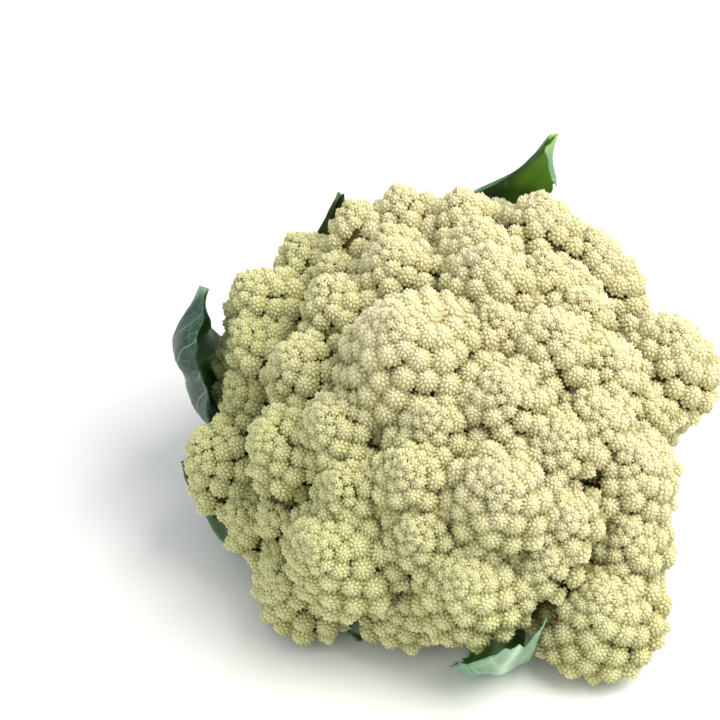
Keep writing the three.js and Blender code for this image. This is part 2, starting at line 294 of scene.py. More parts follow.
def conesOn(floret, rng):
    r, z, run, slope = floretSide(floret["radius"])
    sites = spiralSites(r, run, run[-1], florets["coneAtTip"], florets["coneGrowth"], florets["coneMost"],
                        math.radians(floret["bearing"]))
    at, bearing, spacing = np.array(sites).T
    loose = florets["coneJitter"] * spacing
    even = np.minimum(at / florets["coneEven"], 1)
    at = np.clip(at + rng.normal(0, 1, len(at)) * loose * even, 0, run[-1])
    bearing = bearing + rng.normal(0, 1, len(at)) * loose / np.maximum(np.interp(at, run, r), spacing)
    out = sideways(np.degrees(bearing))
    tilt = np.interp(at, run, slope)
    foot = out * np.interp(at, run, r)[:, None]
    foot[:, 2] = np.interp(at, run, z)
    rise = out * (np.sin(tilt) * (1 - florets["coneLean"]))[:, None]
    rise[:, 2] = np.cos(tilt) + florets["coneLean"]
    rise /= np.linalg.norm(rise, axis=1)[:, None]
    return foot, rise, spacing, at / run[-1]


# Bead clusters: a small cone of beads, made once in several sizes and set all over the florets

beads = {
    "clusterRadii": (0.9, 1.2, 1.6, 2.1, 2.7, 3.4, 4.2, 5.0),  # mm
    "looks": 4,  # different clusters of each size
    "atTip": 0.85,  # mm between beads, and the share of the cluster's radius that adds to it
    "atTipShare": 0.07,
    "growth": 0.18,
    "most": 1.65,
    "clusterHeight": 1.1,  # shares of the cluster's radius
    "clusterPower": 1.15,
    "clusterSteps": 40,
    "footRadii": (0.99, 0.95, 0.88),  # the outline's last points, under the rim
    "footDepths": (0.15, 0.3, 0.45),
    "beadHeight": 0.4,  # shares of the mm between beads
    "heightVary": (0.85, 1.15),
    "creaseDepth": 0.12,
    "ringWidth": 0.68,  # a round bead has a ring under its peak
    "ringHeight": 0.75,
    # the ring's lower tone paints shade on the bead's flank
    "ringTone": 0.8,
    "roundFrom": 2.0,  # beads of smaller clusters are plain points
    "roundTo": 0.62,  # and so are those near a cluster's foot
    "rimStep": 0.6,  # a ring of sites past the rim closes the last beads
    "rimLeast": 6,
    "jitter": 0.06,
    "jitterReach": 0.6,  # mm
    "gapScale": 0.75,  # in narrow gaps the beads are plain too, and fewer
    "gapUnder": 0.72,
    "hiddenUnder": 0.15,  # share of open directions under which a cluster is left out
    "overlap": (0.76, 0.6),  # radius of a cluster for each mm between cones, at a floret's tip and rim
    "overlapTo": 0.6,  # share of the floret's side by which the second value holds
    "sizeVary": (0.9, 1.12),
    "tipSoftness": 0.45,  # how far the painted crease shade reaches up a cluster at a floret's tip
    "softTo": 0.5,
    "sink": 0.1,
    "lowest": 0.15,  # mm above the ground
}


def clusterSide(radius):
    share = np.linspace(0, 1, beads["clusterSteps"])
    r = np.append(radius * share, radius * np.array(beads["footRadii"]))
    z = beads["clusterHeight"] * radius * (1 - share ** beads["clusterPower"])
    z = np.append(z, -radius * np.array(beads["footDepths"]))
    return r, z, *alongSide(r, z)


def beadCluster(radius, seed, isRound):
    rng = np.random.default_rng(seed)
    r, z, run, slope = clusterSide(radius)
    rimRun = run[beads["clusterSteps"] - 1]
    first = beads["atTip"] + beads["atTipShare"] * radius
    sites = spiralSites(r, run, rimRun, first, beads["growth"], beads["most"])
    beadCount = len(sites)
    edge = sites[-1][2]
    ringCount = max(beads["rimLeast"], int(round(2 * math.pi * radius / edge)))
    ringRun = min(rimRun + beads["rimStep"] * edge, run[-1])
    sites += [(ringRun, 2 * math.pi * (n + 0.5) / ringCount, edge) for n in range(ringCount)]
    at, bearing, spacing = np.array(sites).T
    loose = np.where(np.arange(len(at)) < beadCount, beads["jitter"], 0) * spacing
    at = np.clip(at + rng.normal(0, 1, len(at)) * loose, 0, run[-1])
    bearing = bearing + rng.normal(0, 1, len(at)) * loose / np.maximum(at, beads["jitterReach"])
    out = np.stack([np.cos(bearing), np.sin(bearing), np.zeros(len(at))], -1)
    flat = out[:, :2] * at[:, None]
    foot = out * np.interp(at, run, r)[:, None]
    foot[:, 2] = np.interp(at, run, z)
    tilt = np.interp(at, run, slope)
    up = out * np.sin(tilt)[:, None]
    up[:, 2] = np.cos(tilt)
    triangles = np.array(delaunay_2d_cdt([Vector(p) for p in flat], [], [], 0, 1e-6)[2])
    drop = beads["creaseDepth"] * spacing[triangles].mean(1)
    corners = foot[triangles].mean(1) - up[triangles].mean(1) * drop[:, None]
    cornerFlat = flat[triangles].mean(1)
    # tone runs from 0 at the creases to 1 at the peaks, and the material paints shade by it
    points, faces, tone = [corners], [], [np.zeros(len(corners))]
    share = [at[triangles].mean(1) / rimRun]
    count = len(corners)
    for bead in range(beadCount):
        around = np.nonzero((triangles == bead).any(1))[0]
        angle = np.arctan2(cornerFlat[around, 1] - flat[bead, 1], cornerFlat[around, 0] - flat[bead, 0])
        around = around[np.argsort(angle)]
        sides = len(around)
        after = np.roll(np.arange(sides), -1)
        tall = beads["beadHeight"] * spacing[bead] * rng.uniform(*beads["heightVary"])
        peak = (foot[bead] + up[bead] * tall)[None]
        if not isRound or at[bead] > beads["roundTo"] * rimRun:
            points.append(peak)
            tone.append(np.ones(1))
            share.append(np.full(1, at[bead] / rimRun))
            faces.append(np.stack([around, around[after], np.full(sides, count)], -1))
            count += 1
            continue
        inward = (corners[around] - foot[bead]) * beads["ringWidth"]
        points += [foot[bead] + inward + up[bead] * tall * beads["ringHeight"], peak]
        tone += [np.full(sides, beads["ringTone"]), np.ones(1)]
        share.append(np.full(sides + 1, at[bead] / rimRun))
        ring = count + np.arange(sides)
        faces.append(np.stack([around, around[after], ring[after]], -1))
        faces.append(np.stack([around, ring[after], ring], -1))
        faces.append(np.stack([ring, ring[after], np.full(sides, count + sides)], -1))
        count += sides + 1
    points = np.concatenate(points)
    tone = np.concatenate(tone)
    return {
        "points": points / radius,
        "faces": np.concatenate(faces),
        "tone": tone,
        "share": np.clip(np.concatenate(share), 0, 1),
        "open": np.ones(len(tone)),
        "isCrease": np.arange(len(points)) < len(corners),
    }


def clustersOfSize(size, scale, roundFrom):
    radius = beads["clusterRadii"][size]
    seeds = [100 * size + look for look in range(beads["looks"])]
    return [beadCluster(radius * scale, seed, radius > roundFrom) for seed in seeds]


def makeClusters():  # two kinds: with round beads, and with fewer and plainer ones for the gaps
    kinds = ((1, beads["roundFrom"]), (beads["gapScale"], math.inf))
    sizes = range(len(beads["clusterRadii"]))
    return [[clustersOfSize(size, *kind) for size in sizes] for kind in kinds]


def turnsTo(directions, spin):  # for each direction, the turn that carries +Z to it after a spin about +Z
    slantwise = np.array([0.3, 0.9, 0.1])  # any direction that no cone points along
    side = np.cross(slantwise, directions)
    side /= np.linalg.norm(side, axis=1)[:, None]
    ahead = np.cross(directions, side)
    c, s = np.cos(spin)[:, None], np.sin(spin)[:, None]
    return np.stack([side * c + ahead * s, ahead * c - side * s, directions], -1)


def levelRing(reach, angle, height):
    return np.stack([reach * np.cos(angle), reach * np.sin(angle), np.full(len(angle), height)], -1)


def ringFaces(rings, sides):
    faces = []
    for ring in range(rings - 1):
        a = ring * sides + np.arange(sides)
        b = ring * sides + np.roll(np.arange(sides), -1)
        faces += [np.stack([a, a + sides, b], -1), np.stack([b, a + sides, b + sides], -1)]
    return np.concatenate(faces)


flesh = {
    "sides": 24,
    "stops": 14,
    "shrink": 0.92,
    "sink": 0.15,  # mm under the cones' feet, and more for each mm from the tip
    "sinkGrowth": 0.03,
    # painted shade: the flesh between the cones takes a low tone and a low open share, so dark crease
    # colour and gap shade
    "tone": 0.08,
    "tipShare": 0.3,
    "shareGrowth": 1.2,
    "open": 0.3,
    "branchAfter": 5,  # steps of the wrap under the rim, before the branch's colour begins
    "branchStops": (0.12, 0.3, 0.6, 1.0),  # along the branch, from the floret to its neck
    "neckRadius": 0.35,
    "neckHaste": 1.7,
    "branchTone": 0.45,
    "branchToneGrowth": 0.3,
    "branchShare": 1.6,  # over 1.3 the material paints branch and not beads
    # the branch is darkened by painted gap shade for this open share
    "branchOpen": 0.6,
}


def floretBody(floret):  # the flesh between the cones, and the branch under it
    r, z, run, slope = floretSide(floret["radius"])
    stops = np.linspace(0.02, 1, flesh["stops"]) * run[-1]
    sides = flesh["sides"]
    bearing = np.linspace(0, 2 * math.pi, sides, endpoint=False)
    out = np.stack([np.cos(bearing), np.sin(bearing), np.zeros(sides)], -1)
    underRun = run[florets["sideSteps"] + flesh["branchAfter"]]
    rings, tones, shares, opens = [], [], [], []
    for stop in stops:
        ring = out * np.interp(stop, run, r) * flesh["shrink"]
        ring[:, 2] = np.interp(stop, run, z) - flesh["sink"] - flesh["sinkGrowth"] * stop
        rings.append(floret["centre"] + ring @ floret["turn"].T)
        isUnder = stop > underRun
        beadShare = min(1, flesh["tipShare"] + flesh["shareGrowth"] * stop / run[-1])
        tones.append(flesh["tone"])
        shares.append(flesh["branchShare"] if isUnder else beadShare)
        opens.append(flesh["branchOpen"] if isUnder else flesh["open"])
    last = rings[-1]
    middle = last.mean(0)
    for share in flesh["branchStops"]:
        narrowing = math.sin(min(share * flesh["neckHaste"], 1) * math.pi / 2)
        waist = 1 - (1 - flesh["neckRadius"]) * narrowing
        rings.append(middle * (1 - share) + floret["neck"] * share + (last - middle) * waist)
        tones.append(flesh["branchTone"] + flesh["branchToneGrowth"] * share)
        shares.append(flesh["branchShare"])
        opens.append(flesh["branchOpen"])
    return {
        "points": np.concatenate(rings),
        "faces": ringFaces(len(rings), sides),
        "tone": np.repeat(tones, sides),
        "share": np.repeat(shares, sides),
        "open": np.repeat(opens, sides),
        "isCrease": np.zeros(len(rings) * sides, bool),
    }


def evenDirections(count):  # spread over a ball
    directions = []
    for n in range(count):
        height = 1 - 2 * (n + 0.5) / count
        flat = math.sqrt(1 - height * height)
        directions.append((flat * math.cos(n * goldenAngle), flat * math.sin(n * goldenAngle), height))
    return directions


sight = {
    "directions": evenDirections(26),
    "grazing": 0.1,  # directions that lie lower than this beside a cone don't count
    "farthest": 70,  # mm
    "height": 0.8,  # shares of the spacing, above the cone's foot
    "lowest": 0.5,  # mm above the ground
}


def makeShell():  # every floret without its cones, to find which cones are out of sight
    shell = joinParts([floretBody(floret) for floret in placed])
    return BVHTree.FromPolygons(shell["points"].tolist(), shell["faces"].tolist())


def openShare(shell, place, rise):  # how many of the directions round a cone's tip are open
    start = Vector(place)
    total = 0
    free = 0
    for direction in sight["directions"]:
        if np.dot(direction, rise) > sight["grazing"]:
            total += 1
            free += shell.ray_cast(start, Vector(direction), sight["farthest"])[0] is None
    return free / total


def dressFloret(floret, shell, clusters, rng):
    foot, rise, spacing, share = conesOn(floret, rng)
    foot = floret["centre"] + foot @ floret["turn"].T
    rise = rise @ floret["turn"].T
    probe = foot + rise * (sight["height"] * spacing)[:, None]
    isOpen = np.array([openShare(shell, probe[n], rise[n]) for n in range(len(foot))])
    shown = (probe[:, 2] > sight["lowest"]) & (isOpen > beads["hiddenUnder"])
    foot, rise, spacing, isOpen = foot[shown], rise[shown], spacing[shown], isOpen[shown]
    share = share[shown]
    overlap = np.interp(share, (0, beads["overlapTo"]), beads["overlap"])
    sizes = spacing * overlap * rng.uniform(*beads["sizeVary"], len(spacing))
    # the painted crease shade reaches less far up the clusters near a floret's tip
    crease = np.interp(share, (0, beads["softTo"]), (beads["tipSoftness"], 1))
    turns = turnsTo(rise, rng.uniform(0, 2 * math.pi, len(rise)))
    radii = np.array(beads["clusterRadii"])
    parts = [floretBody(floret)]
    for n in range(len(foot)):
        kind = clusters[int(isOpen[n] < beads["gapUnder"])]
        nearest = int(np.argmin(np.abs(np.log(radii / sizes[n]))))
        look = kind[nearest][rng.integers(beads["looks"])]
        sunk = foot[n] - rise[n] * beads["sink"] * sizes[n]
        part = dict(look)
        part["points"] = sunk + look["points"] @ turns[n].T * sizes[n]
        part["open"] = look["open"] * isOpen[n]
        part["share"] = look["share"] * crease[n]
        parts.append(part)
    return parts


def joinParts(parts):
    starts = np.cumsum([0] + [len(part["points"]) for part in parts[:-1]])
    keys = ("points", "tone", "share", "open", "isCrease")
    joined = {key: np.concatenate([part[key] for part in parts]) for key in keys}
    joined["faces"] = np.concatenate([part["faces"] + start for part, start in zip(parts, starts)])
    return joined


def addCurdPiece(name, parts, material):
    joined = joinParts(parts)
    joined["points"][:, 2] = np.maximum(joined["points"][:, 2], beads["lowest"])
    values = {"tone": joined["tone"], "clusterShare": joined["share"], "openShare": joined["open"]}
    piece = makeObject(name, joined["points"], joined["faces"], values, material, joined["isCrease"])
    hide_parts("curd")
    print(name, "has", len(joined["faces"]), "faces")


# The solid middle that the florets grow from, as (distance from the axis, height) in the head's frame

core = {
    "profile": ((0, -24), (20, -24), (50, -10), (60, 4), (58, 22), (40, 40), (0, 50)),
    "rows": 30,
    "sides": 72,
    "furrows": 9,
    "fineFurrows": 23,
    "furrowDepth": 1.6,
    "fineShare": 0.6,
    "smoothWithin": 30,  # mm from the axis, where the furrows fade
    "tone": 0.6,
    # the core is darkened by painted gap shade for this open share
    "open": 0.5,
}


def coreBody():
    profile = np.array(core["profile"], float)
    run = np.append(0, np.cumsum(np.hypot(*np.diff(profile, axis=0).T)))
    stops = np.linspace(0.01, 0.99, core["rows"]) * run[-1]
    r, z = np.interp(stops, run, profile[:, 0]), np.interp(stops, run, profile[:, 1])
    angle = np.linspace(0, 2 * math.pi, core["sides"], endpoint=False)
    fine = core["fineShare"] * np.cos(angle * core["fineFurrows"] + 1)
    furrow = core["furrowDepth"] * (np.cos(angle * core["furrows"]) + fine) - 1
    rings = []
    for radius, height in zip(r, z):
        reach = radius + furrow * min(radius / core["smoothWithin"], 1)
        rings.append(toSpace(levelRing(reach, angle, height)))
    count = core["rows"] * core["sides"]
    return {
        "points": np.concatenate(rings),
        "faces": ringFaces(core["rows"], core["sides"]),
        "tone": np.full(count, core["tone"]),
        "share": np.full(count, flesh["branchShare"]),
        "open": np.full(count, core["open"]),
        "isCrease": np.zeros(count, bool),
    }


def makeCurd(material, faceLimit=185000, seed=7):
    rng = np.random.default_rng(seed)
    clusters = makeClusters()
    shell = makeShell()
    held = [coreBody()]
    heldFaces = 0
    number = 1
    for floret in placed:
        parts = dressFloret(floret, shell, clusters, rng)
        faceCount = sum(len(part["faces"]) for part in parts)
        if heldFaces + faceCount > faceLimit:
            addCurdPiece("curdFlorets" + str(number), held, material)
            held = []
            heldFaces = 0
            number += 1
        held += parts
        heldFaces += faceCount
    addCurdPiece("curdFlorets" + str(number), held, material)


# Stalk: it leans with the head, and its cut face lies on the ground

stalk = {
    "radius": 20,
    "top": -24.3,
    "waist": -46,
    "foot": -72,
    "rows": 26,
    "sides": 96,
    "ridge": 0.5,
    "ridges": (13, 7),
    "scarDepth": 0.9,
    "scarTurns": 3,  # leaf scars wind round the stalk, this many side by side
    "scarPitch": 16,  # mm from one to the next down the stalk
    "scarWidth": 0.09,
    "topRings": (0.02, 0.6),  # shares of the radius
    "cutRings": (0.75, 0.4, 0.001),
}


def makeStalk(material):
    angle = np.linspace(0, 2 * math.pi, stalk["sides"], endpoint=False)
    radius, top = stalk["radius"], stalk["top"]
    topRings = [toSpace(levelRing(radius * share, angle, top)) for share in stalk["topRings"]]
    fall = toSpace(levelRing(radius, angle, top))[:, 2] / headAxis[2]
    heights = (stalk["foot"] - top, stalk["waist"] - top, 0)
    manyRidges, fewRidges = stalk["ridges"]
    shares = np.linspace(0, 1, stalk["rows"] + 1)
    rings = []
    for share in shares:
        depth = fall * share
        flare = np.interp(-depth, heights, (1, -1, 0))
        ridge = 0.5 * np.cos(angle * manyRidges + 1) + 0.5 * np.cos(angle * fewRidges + depth * 0.05)
        turn = angle / (2 * math.pi) * stalk["scarTurns"] + depth / stalk["scarPitch"]
        scar = stalk["scarDepth"] * np.exp(-((turn - np.round(turn)) / stalk["scarWidth"]) ** 2)
        relief = (stalk["ridge"] * ridge - scar - 0.5) * math.sin(math.pi * min(share * 1.2, 1))
        ring = levelRing(radius + flare + relief, angle, top)
        rings.append(toSpace(ring) - headAxis * depth[:, None])
    rings[-1][:, 2] = 0
    last = rings[-1]
    middle = last.mean(0)
    for share in stalk["cutRings"]:
        face = middle + (last - middle) * share
        face[:, 2] = 0
        rings.append(face)
    topCount, cutCount = len(topRings), len(stalk["cutRings"])
    rings = topRings + rings
    along = np.repeat([0] * topCount + list(shares) + [1] * cutCount, stalk["sides"])
    cut = np.repeat([0] * (topCount + len(shares)) + [1] * cutCount, stalk["sides"])
    piece = makeObject("stalkFine", np.concatenate(rings), ringFaces(len(rings), stalk["sides"]),
                       {"along": along, "cut": cut}, material)
    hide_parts("stalk")


# Leaves: stops of the midrib as (bearing, distance from the head's axis, height), widths in mm

leafShape = {
    "coarseRows": 18,
    "coarseColumns": 6,
    "rows": 66,
    "columns": 24,
    "thickness": 0.6,  # mm
    "ribThickness": 4.2,
    "ribWidth": 4,
    "ribFade": 0.8,
    "clearance": 1.4,
    "bulge": 1.28,
    "branchReach": 0.45,
    "bladeStart": 0.3,
    "bladeFull": 0.6,
    "marginFrom": 0.72,  # share of the half width where the thin, toothed margin begins
    "toothDepth": 0.14,
    "teeth": 9,
    "fineTeeth": 3.1,  # to each large one
    "fineDepth": 0.05,
    "endFrom": 0.86,
    "endTeeth": (2.6, 9.2),  # large and small ones across the end of the leaf
    "endDepth": 0.12,
    "rippleRate": 19,
    "rippleSkew": 2,
    "rumpleDepth": 0.7,
    "veins": 9,
    "veinCurve": 1.2,
    "veinSweep": 1.5,
    "veinWidth": 0.07,
    "lowest": 0.2,  # mm above the ground
}
leaves = {
    "leaf_front": {
        "rib": ((4, 14, 9), (4, 45, 5), (3, 79, 3), (4, 89, 12), (9, 91, 33)),
        "widths": (9, 11, 24, 38, 30), "cup": 7, "wave": 1.5, "twist": 0.3,
        "slot": "leaf_pale", "paint": "front",
        "endDepth": 0.8, "notches": ((0.35, 0.14, 4.0), (-0.55, 0.5, -3.4)),
    },
    "leaf_front_left": {
        "rib": ((-34, 14, 9), (-34, 40, 7), (-34, 58, 5), (-34, 70, 13), (-33, 76, 26)),
        "widths": (9, 9, 12, 18, 8), "cup": 1, "wave": 1, "twist": 0,
        "slot": "leaf_dark", "paint": "dark",
    },
    "leaf_low_left": {
        "rib": ((-80, 14, 9), (-79, 50, 4), (-78, 80, 4), (-82, 92, 13), (-90, 95, 34)),
        "widths": (9, 12, 34, 42, 4), "cup": 6, "wave": 2, "twist": 0,
        "slot": "leaf_dark", "paint": "dark",
    },
    "leaf_left": {
        "rib": ((-118, 14, 10), (-116, 52, 10), (-111, 88, 30), (-112, 101, 59), (-123, 92, 87)),
        "widths": (9, 12, 34, 48, 3), "cup": 14, "wave": 2, "twist": 0.8,
        "slot": "leaf_pale", "paint": "left",
        "edges": ((-1, 1, 0.07, -0.8), (1, 1, 0.07, -0.8), (-1, 0.79, 0.035, 0.55)),
    },
    "leaf_back_left": {
        "rib": ((-148, 14, 11), (-148, 56, 14), (-149, 92, 34), (-155, 99, 67), (-165, 98, 99)),
        "widths": (9, 12, 28, 22, 3), "cup": 8, "wave": 2, "twist": 0,
        "slot": "leaf_mid", "paint": "dark",
    },
    "leaf_back_right": {
        "rib": ((156, 14, 11), (156, 56, 14), (158, 94, 38), (160.5, 104, 84), (147.5, 112, 131)),
        "widths": (9, 13, 40, 46, 3), "cup": 9, "wave": 3, "twist": 0,
        "slot": "leaf_mid", "paint": "back",
        "edges": ((-1, 0.93, 0.02, 0.8), (1, 0.93, 0.09, -0.7)),
    },
    "leaf_low_back": {
        "rib": ((184, 14, 9), (184, 48, 8), (184, 80, 14), (184, 93, 30), (185, 96, 50)),
        "widths": (9, 12, 32, 34, 4), "cup": 7, "wave": 2, "twist": 0,
        "slot": "leaf_mid", "paint": "back",
    },
    "leaf_low_right": {
        "rib": ((122, 14, 9), (122, 48, 6), (122, 76, 6), (123, 90, 14), (124, 92, 30)),
        "widths": (9, 12, 32, 34, 4), "cup": 7, "wave": 2, "twist": 0,
        "slot": "leaf_mid", "paint": "dark",
    },
}


def throughStops(stops, at, evening=0.0):  # smooth curve through the stops, at 0 to 1
    stops = np.asarray(stops, float)
    first = 2 * stops[0] - stops[1]
    last = 2 * stops[-1] - stops[-2]
    padded = np.concatenate([first[None], stops, last[None]])
    place = np.clip(np.asarray(at) * (len(stops) - 1), 0, len(stops) - 1 - 1e-9)
    n = place.astype(int)
    t = place - n
    p0, p1, p2, p3 = padded[n], padded[n + 1], padded[n + 2], padded[n + 3]
    shape = (len(n),) + (1,) * (stops.ndim - 1)

    def gap(a, b):
        size = np.linalg.norm((b - a).reshape(len(n), -1), axis=1)
        return (np.maximum(size, 1e-4) ** evening).reshape(shape)

    d0, d1, d2 = gap(p0, p1), gap(p1, p2), gap(p2, p3)
    m1 = ((p1 - p0) / d0 - (p2 - p0) / (d0 + d1) + (p2 - p1) / d1) * d1
    m2 = ((p2 - p1) / d1 - (p3 - p1) / (d1 + d2) + (p3 - p2) / d2) * d1
    t = t.reshape(shape)
    return p1 + m1 * t + (-3 * p1 + 3 * p2 - 2 * m1 - m2) * t ** 2 + (2 * p1 - 2 * p2 + m1 + m2) * t ** 3


def smoothStep(x, low, high):
    t = np.clip((x - low) / (high - low), 0, 1)
    return t * t * (3 - 2 * t)


def pushClear(points, margin):  # out of every floret and its branch, and off the ground
    for _ in range(4):
        for floret in placed:
            along = floret["neck"] - floret["centre"]
            share = np.clip((points - floret["centre"]) @ along / (along @ along), 0, 1)[:, None]
            nearest = floret["centre"] + along * share
            away = points - nearest
            far = np.linalg.norm(away, axis=1)[:, None]
            wide = leafShape["bulge"] + (leafShape["branchReach"] - leafShape["bulge"]) * share
            reach = floret["radius"] * wide + margin[:, None]
            points = np.where(far < reach, nearest + away / far * reach, points)
        points[:, 2] = np.maximum(points[:, 2], margin)
    return points


def leafMiddle(leaf):  # the leaf's middle surface on a coarse grid
    rows, columns = leafShape["coarseRows"], leafShape["coarseColumns"]
    along = np.repeat(np.linspace(0, 1, rows + 1), columns + 1)
    across = np.tile(np.linspace(-1, 1, columns + 1), rows + 1)
    stop = throughStops(leaf["rib"], along, 0.5)
    width = throughStops(leaf["widths"], along)
    blade = smoothStep(along, leafShape["bladeStart"], leafShape["bladeFull"])
    reach = across * width / 2
    wave = np.sin(along * leafShape["rippleRate"] + across * leafShape["rippleSkew"])
    distance = stop[:, 1] + blade * across ** 2 * (leaf["wave"] * wave - leaf["cup"])
    bearing = stop[:, 0] + np.degrees(reach / stop[:, 1])
    axis = headCentre + headAxis * ((stop[:, 2] - headCentre[2]) / headAxis[2])[:, None]
    points = sideways(bearing) * distance[:, None] + axis
    points[:, 2] += leaf["twist"] * reach
    fade = 1 - leafShape["ribFade"] * along
    half = (0.9 + 4.5 * fade * np.exp(-(reach / leafShape["ribWidth"]) ** 2)) / 2
    return pushClear(points, half + leafShape["clearance"]).reshape(rows + 1, columns + 1, 3)


def makeLeaf(name, leaf, material, seed):
    rng = np.random.default_rng(seed)
    rows, columns = leafShape["rows"], leafShape["columns"]
    along = np.linspace(0, 1, rows + 1)
    across = np.sin(np.linspace(-1, 1, columns + 1) * 1.2) / math.sin(1.2)
    coarse = leafMiddle(leaf)
    tall = throughStops(coarse, along)
    middle = throughStops(tall.transpose(1, 0, 2), (across + 1) / 2).transpose(1, 0, 2)
    v, u = np.meshgrid(along, across, indexing="ij")
    width = throughStops(leaf["widths"], along)
    blade = smoothStep(v, leafShape["bladeStart"], leafShape["bladeFull"])
    margin = smoothStep(np.abs(u), leafShape["marginFrom"], 1)
    teeth = v * leafShape["teeth"]
    fine = np.abs(((teeth * leafShape["fineTeeth"] + rng.uniform()) % 1) - 0.35)
    tooth = leafShape["toothDepth"] * np.abs(np.sin(teeth * math.pi))
    narrow = blade * margin * (tooth + leafShape["fineDepth"] * fine)
    for side, place, spread, amount in leaf.get("edges", ()):  # lobes and hollows of one edge
        bump = np.exp(-((v - place) / spread) ** 2) * (u * side > 0) * np.abs(u)
        narrow = narrow - amount * bump
    middle = middle - (middle - middle[:, columns // 2, None]) * narrow[..., None]
    large, small = leafShape["endTeeth"]
    endTooth = np.abs(((u * large + rng.uniform()) % 1) - 0.5) + 0.4 * np.abs(((u * small) % 1) - 0.5)
    endTooth = endTooth * leaf.get("endDepth", leafShape["endDepth"])
    for place, spread, depth in leaf.get("notches", ()):
        endTooth = endTooth + 0.25 * depth * np.exp(-((u - place) / spread) ** 2)
    step = middle[-1] - middle[-6]
    shorter = smoothStep(v, leafShape["endFrom"], 1) * endTooth * 0.9
    middle = middle - step[None] * shorter[..., None]
    upward = np.gradient(middle, axis=0)
    sideward = np.gradient(middle, axis=1)
    normal = np.cross(upward, sideward)
    normal /= np.linalg.norm(normal, axis=2)[..., None] + 1e-9
    rumple = blade * (0.5 * np.sin(v * 41 + u * 3) * np.abs(u) + 0.35 * np.sin(v * 23 - u * 11 + 1))
    veinAt = v * leafShape["veins"] - np.abs(u) ** leafShape["veinCurve"] * leafShape["veinSweep"]
    vein = np.exp(-((veinAt - np.round(veinAt)) / leafShape["veinWidth"]) ** 2)
    vein = vein * blade * (1 - 0.7 * np.abs(u))
    middle = middle + normal * rumple[..., None] * leafShape["rumpleDepth"]
    off = u * width[:, None] / 2
    fade = 1 - leafShape["ribFade"] * v
    rib = leafShape["ribThickness"] * fade * np.exp(-(off / leafShape["ribWidth"]) ** 2)
    thin = leafShape["thickness"] * (1 - 0.55 * margin)
    inner = (middle + normal * ((thin + rib * 0.5) / 2 - 0.1 * vein)[..., None]).reshape(-1, 3)
    outer = (middle - normal * ((thin + rib) / 2 - 0.12 + 0.3 * vein)[..., None]).reshape(-1, 3)
    wide = columns + 1
    a = (np.arange(rows)[:, None] * wide + np.arange(columns)).ravel()
    under = (rows + 1) * wide
    quads = [np.stack([a, a + wide, a + wide + 1, a + 1], -1)]
    quads.append(np.stack([a, a + 1, a + wide + 1, a + wide], -1) + under)
    loop = list(range(columns))  # round the edge of the grid
    loop += [row * wide + columns for row in range(rows)]
    loop += [rows * wide + column for column in range(columns, 0, -1)]
    loop += [row * wide for row in range(rows, 0, -1)]
    loop = np.array(loop)
    after = np.roll(loop, -1)
    quads.append(np.stack([loop, after, after + under, loop + under], -1))
    points = np.concatenate([inner, outer])
    points[:, 2] = np.maximum(points[:, 2], leafShape["lowest"])
    values = {
        "along": np.tile(v.ravel(), 2),
        "across": np.tile(u.ravel(), 2),
        "innerSide": np.repeat([1.0, 0.0], under),
        "ribShare": np.tile(np.exp(-(off / 2.2) ** 2).ravel(), 2),
    }
    piece = makeObject(name + "Fine", points, np.concatenate(quads), values, material)
    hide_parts(name)


# Materials

white = (1.0, 1.0, 1.0)


def mixColour(tree, factor, first, second, kind="MIX"):
    mix = tree.nodes.new("ShaderNodeMix")
    mix.data_type = "RGBA"
    mix.blend_type = kind
    for value, socket in ((factor, 0), (first, 6), (second, 7)):
        if isinstance(value, bpy.types.NodeSocket):
            tree.links.new(value, mix.inputs[socket])
        elif isinstance(value, tuple):
            mix.inputs[socket].default_value = (*value, 1)
        else:
            mix.inputs[socket].default_value = value
    return mix.outputs[2]


def tinted(tree, colour, tint):
    return mixColour(tree, 1.0, colour, tint, "MULTIPLY")


def attribute(tree, name):
    node = tree.nodes.new("ShaderNodeAttribute")
    node.attribute_name = name
    return node.outputs["Fac"]


def calculate(tree, kind, *values):
    node = tree.nodes.new("ShaderNodeMath")
    node.operation = kind
    for n, value in enumerate(values):
        if isinstance(value, bpy.types.NodeSocket):
            tree.links.new(value, node.inputs[n])
        else:
            node.inputs[n].default_value = value
    return node.outputs[0]


def between(tree, value, low, high):  # 0 at low and 1 at high, eased
    node = tree.nodes.new("ShaderNodeMapRange")
    node.interpolation_type = "SMOOTHSTEP"
    node.inputs["From Min"].default_value = low
    node.inputs["From Max"].default_value = high
    tree.links.new(value, node.inputs["Value"])
    return node.outputs["Result"]


def noise(tree, scale, detail=2):
    place = tree.nodes.new("ShaderNodeTexCoord")
    node = tree.nodes.new("ShaderNodeTexNoise")
    node.inputs["Scale"].default_value = scale
    node.inputs["Detail"].default_value = detail
    tree.links.new(place.outputs["Object"], node.inputs["Vector"])
    return node.outputs["Fac"]


def newMaterial(name):
    material = bpy.data.materials.new(name)
    material.use_nodes = True
    tree = material.node_tree
    return material, tree, tree.nodes["Principled BSDF"]


